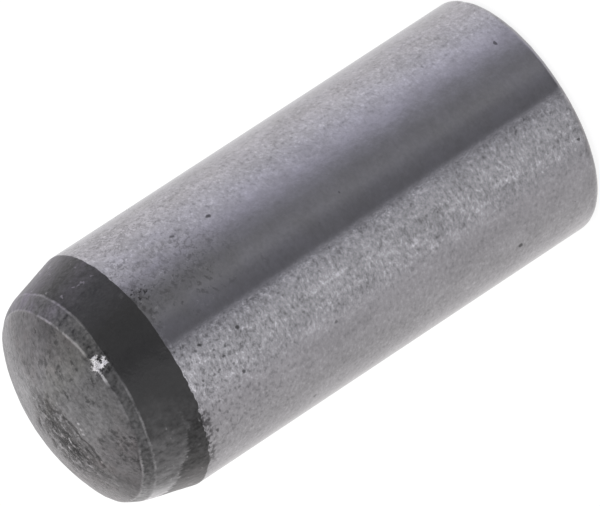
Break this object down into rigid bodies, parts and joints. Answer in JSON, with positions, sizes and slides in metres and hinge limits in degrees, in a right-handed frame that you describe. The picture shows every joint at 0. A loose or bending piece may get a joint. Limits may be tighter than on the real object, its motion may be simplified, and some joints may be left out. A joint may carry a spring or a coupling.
{
  "type": "dowel pin",
  "caption": "Hardened and ground steel dowel pin with a plain end, a long lead-in chamfer and a crowned nose, for locating two parts by a press fit.",
  "frame": {"origin": "centre of the plain end face, on the surface that the pin stands on", "axes": "+Z along the pin's axis, from the plain end towards the crowned lead end; the pin is round, so +X is free"},
  "size_m": [0.008, 0.008, 0.0182],
  "materials": {
    "ground_steel": "centreless-ground hardened steel with fine turning streaks, a dark hardened skin on the lead-in chamfer and small pits"
  },
  "bodies": {
    "root": {"dowel_pin": "ground_steel"}
  },
  "joints": []
}
